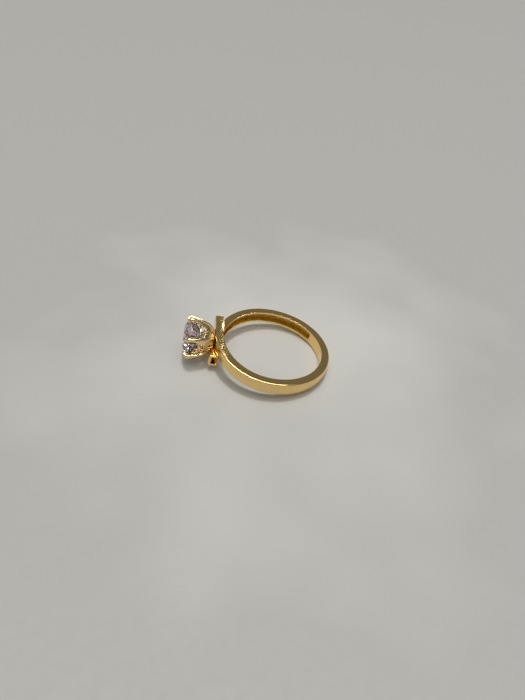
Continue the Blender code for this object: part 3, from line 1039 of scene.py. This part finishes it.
def grind_side(edge_height, direction, slope, flat_radius, meet_share):
    """Mains and halves of the crown or of the pavilion."""
    in_line = math.cos(math.radians(facet_step / 2))
    flat_height = edge_height + direction * (STONE_RADIUS - flat_radius) * math.tan(slope)
    meet_radius = STONE_RADIUS - meet_share * (STONE_RADIUS - flat_radius * in_line)
    meet_height = edge_height + direction * (STONE_RADIUS - meet_radius * in_line) * math.tan(slope)
    for angle in facet_angles:
        foot = around(STONE_RADIUS, angle, edge_height)
        grind(foot, foot + around(1.0, angle + 90.0, 0.0), around(flat_radius, angle, flat_height))
    for angle in facet_angles:
        for way in (0.5, -0.5):
            beside = angle + way * facet_step
            grind(around(STONE_RADIUS, angle, edge_height), around(STONE_RADIUS, beside, edge_height),
                  around(meet_radius, beside, meet_height))
    return flat_height, meet_radius, meet_height


print("main facets stand", facet_step, "degrees apart")

# %% Grind the stone
UPRIGHT_LIMIT = 0.05

clear_selection()
bpy.ops.mesh.primitive_cylinder_add(
    vertices=GIRDLE_SIDES, radius=STONE_RADIUS, depth=STONE_RADIUS * 4, location=(0, 0, GIRDLE_HEIGHT))
stone = bpy.context.object
stone.name = "brilliant_stone"
apply_place(stone)
edit(stone)
girdle_top = GIRDLE_HEIGHT + GIRDLE_THICKNESS / 2
girdle_foot = GIRDLE_HEIGHT - GIRDLE_THICKNESS / 2
top, star_radius, star_height = grind_side(
    girdle_top, 1.0, CROWN_ANGLE, table_radius, 1.0 - STAR_LENGTH)
grind_flat(table_radius, top)
for angle in facet_angles:
    grind(around(table_radius, angle, top), around(table_radius, angle + facet_step, top),
          around(star_radius, angle + facet_step / 2, star_height))
point = grind_side(girdle_foot, -1.0, PAVILION_ANGLE, CULET_RADIUS, LOWER_HALF_LENGTH)[0]
grind_flat(CULET_RADIUS, point)
close_and_orient(1e-5)
pick("FACE", lambda face: abs(face.normal.z) < UPRIGHT_LIMIT)
mark_second_finish(stone)
object_mode()
give_materials(stone, clear_stone, frosted_girdle)
finish_piece(stone, ["stone"])

# %% [markdown]
# ## Table
# The ring lies on a pale matt sheet. Real paper is never one colour, so its fibres and faint clouds
# come from noise. A pool of light round the ring is painted: the sheet is painted darker away from
# it, in place of a lamp that fades outwards, which the gold would mirror. The sheet runs so far back
# that no edge shows behind the ring.

# %% Pale sheet
SHEET_LIGHT = (0.84, 0.83, 0.79)
SHEET_DARK = (0.79, 0.78, 0.745)
# The third colour is painted shade: the sheet turns to it away from a point by the ring, where a pool
# of light is painted.
SHEET_PAINTED_SHADE = (0.64, 0.63, 0.605)
LIGHT_POOL_CENTRE = (0.006, 0.002, 0.0)
LIGHT_POOL_REACH = (0.010, 0.046)
POOL_EDGE_WOBBLE = 0.012
CLOUDS_PER_METRE = 24.0
POOL_WOBBLES_PER_METRE = 38.0
FIBRES_PER_METRE = 900.0
NOISE_MIDDLE = (0.3, 0.7)
SHEET_ROUGHNESS = (0.55, 0.75)
FIBRE_RELIEF = 0.0001
SHEET_SIZE = 60.0


def make_sheet_material():
    material, tree, shader = new_material("matt_sheet")
    place = tree.nodes.new("ShaderNodeTexCoord").outputs["Object"]
    clouds = noise_node(tree, place, CLOUDS_PER_METRE, 3.0)
    plain_part = blend_colours(tree, spread(tree, clouds, *NOISE_MIDDLE), SHEET_LIGHT, SHEET_DARK)
    pool_wobble = spread(tree, noise_node(tree, place, POOL_WOBBLES_PER_METRE, 2.0), *NOISE_MIDDLE, -POOL_EDGE_WOBBLE, POOL_EDGE_WOBBLE)
    # Painted shade: the sheet is painted darker away from a point by the ring, a painted pool of light
    # round it.
    far = math_node(tree, "ADD", measure_node(tree, "DISTANCE", place, LIGHT_POOL_CENTRE), pool_wobble)
    colour = blend_colours(tree, spread(tree, far, *LIGHT_POOL_REACH), plain_part, SHEET_PAINTED_SHADE)
    tree.links.new(colour, shader.inputs["Base Color"])
    fibres = noise_node(tree, place, FIBRES_PER_METRE, 5.0)
    roughness = spread(tree, fibres, *NOISE_MIDDLE, *SHEET_ROUGHNESS)
    tree.links.new(roughness, shader.inputs["Roughness"])
    add_bump(tree, shader, fibres, 0.15, FIBRE_RELIEF)
    return material


clear_selection()
bpy.ops.mesh.primitive_grid_add(x_subdivisions=8, y_subdivisions=8, size=SHEET_SIZE)
sheet = bpy.context.object
sheet.name = "pale_sheet"
give_materials(sheet, make_sheet_material())
print("sheet laid")

# %% [markdown]
# ## Light and camera
# The room gives a part of the light, and one soft source gives the rest from high behind the ring,
# so the shadow falls a little towards the viewer. Polished gold is only as good as what it mirrors:
# the room is bright overhead, half bright at the horizon and dim between, and three small lamps
# draw sparks on the edges. The soft source isn't mirrored, because a broad glare would hide them.

# %% Soft source and sparks
SPARK_DISTANCE = 0.6
SPARK_COLOUR = (1.0, 0.97, 0.92)


def aimed(lamp, direction):
    """Turn a lamp to shine from a direction on to the ring."""
    lamp.rotation_euler = Vector(direction).to_track_quat("Z", "Y").to_euler()
    bpy.context.scene.collection.objects.link(lamp)
    return lamp


def add_soft_source(name, direction, strength, width_angle):
    light = bpy.data.lights.new(name, "SUN")
    light.energy = strength
    light.angle = math.radians(width_angle)
    lamp = aimed(bpy.data.objects.new(name, light), direction)
    lamp.visible_glossy = False
    lamp.visible_transmission = False


def add_spark(name, direction, size, power):
    light = bpy.data.lights.new(name, "AREA")
    light.shape = "RECTANGLE"
    light.size, light.size_y = size
    light.energy = power
    light.color = SPARK_COLOUR
    lamp = aimed(bpy.data.objects.new(name, light), direction)
    lamp.location = Vector(direction).normalized() * SPARK_DISTANCE
    lamp.visible_diffuse = False


def direction_of(azimuth, elevation):
    """Direction from the ring: azimuth from +Y towards +X, elevation above the table."""
    flat = math.cos(math.radians(elevation))
    return Vector((flat * math.sin(math.radians(azimuth)), flat * math.cos(math.radians(azimuth)),
                   math.sin(math.radians(elevation))))


add_soft_source("soft_source", direction_of(4.0, 79.5), strength=0.80, width_angle=7.5)
add_spark("window_spark", direction_of(19.2, 47.8), size=(0.032, 0.032), power=0.055)
add_spark("back_spark", direction_of(200.0, 66.0), size=(0.06, 0.05), power=0.25)
add_spark("ceiling_spark", direction_of(0.0, 88.0), size=(0.60, 0.16), power=2.4)
print("lamps set")

# %% Room
ROOM_STOPS = (
    (0.00, (0.46, 0.46, 0.44)),
    (0.28, (0.42, 0.42, 0.41)),
    (0.46, (0.16, 0.16, 0.15)),
    (0.80, (0.17, 0.17, 0.16)),
    (0.90, (1.00, 0.99, 0.96)),
    (1.00, (1.10, 1.09, 1.06)),
)
VIEWER_DARK = (0.02, 0.02, 0.022)
VIEWER_DIRECTION = Vector((-0.12, -0.74, 0.66))
VIEWER_EDGE = (0.90, 0.96)


def make_room():
    """The room seen in the gold, by height above the horizon, and dark where the viewer stands."""
    world = bpy.context.scene.world or bpy.data.worlds.new("room")
    bpy.context.scene.world = world
    world.use_nodes = True
    tree = world.node_tree
    direction = tree.nodes.new("ShaderNodeTexCoord").outputs["Generated"]
    parts = tree.nodes.new("ShaderNodeSeparateXYZ")
    tree.links.new(direction, parts.inputs[0])
    ramp = tree.nodes.new("ShaderNodeValToRGB")
    stops = ramp.color_ramp.elements
    while len(stops) < len(ROOM_STOPS):
        stops.new(0.5)
    for stop, (place, colour) in zip(stops, ROOM_STOPS):
        stop.position = place
        stop.color = (*colour, 1.0)
    tree.links.new(parts.outputs["Z"], ramp.inputs["Fac"])
    towards = measure_node(tree, "DOT_PRODUCT", direction, VIEWER_DIRECTION.normalized())
    viewer = spread(tree, towards, *VIEWER_EDGE)
    seen = blend_colours(tree, viewer, ramp.outputs["Color"], VIEWER_DARK)
    tree.links.new(seen, tree.nodes["Background"].inputs["Color"])


make_room()
print("room set")

# %% Camera
SENSOR_SIZE = 24.0
LENS = 17.8
VIEW_DISTANCE = 89.2
VIEW_STEEPNESS = math.radians(39.01)
VIEW_TURN = math.radians(12.86)
VIEW_ROLL = math.radians(16.33)
AIM_RIGHT = 1.54
AIM_DOWN = 0.27


def camera_place():
    """Camera in the ring's own axes: it looks down on the ring, turned and rolled a little."""
    turn = Matrix.Rotation(-VIEW_TURN, 3, "Z")
    right = turn @ Vector((1, 0, 0))
    forward = turn @ Vector((0, math.cos(VIEW_STEEPNESS), -math.sin(VIEW_STEEPNESS)))
    up = right.cross(forward)
    rolled_right = right * math.cos(VIEW_ROLL) + up * math.sin(VIEW_ROLL)
    rolled_up = up * math.cos(VIEW_ROLL) - right * math.sin(VIEW_ROLL)
    place = Matrix((rolled_right, rolled_up, -forward)).transposed().to_4x4()
    place.translation = -forward * VIEW_DISTANCE - rolled_right * AIM_RIGHT - rolled_up * AIM_DOWN
    return place


lens = bpy.data.cameras.new("camera")
lens.sensor_width = SENSOR_SIZE
lens.lens = LENS
lens.clip_start = 0.001
camera = bpy.data.objects.new("camera", lens)
bpy.context.scene.collection.objects.link(camera)
camera.matrix_world = (ring_to_table @ camera_place()).normalized()
bpy.context.scene.camera = camera
bpy.context.scene.view_settings.view_transform = "Standard"
print("camera at", [round(v * 1000, 1) for v in camera.location], "mm")
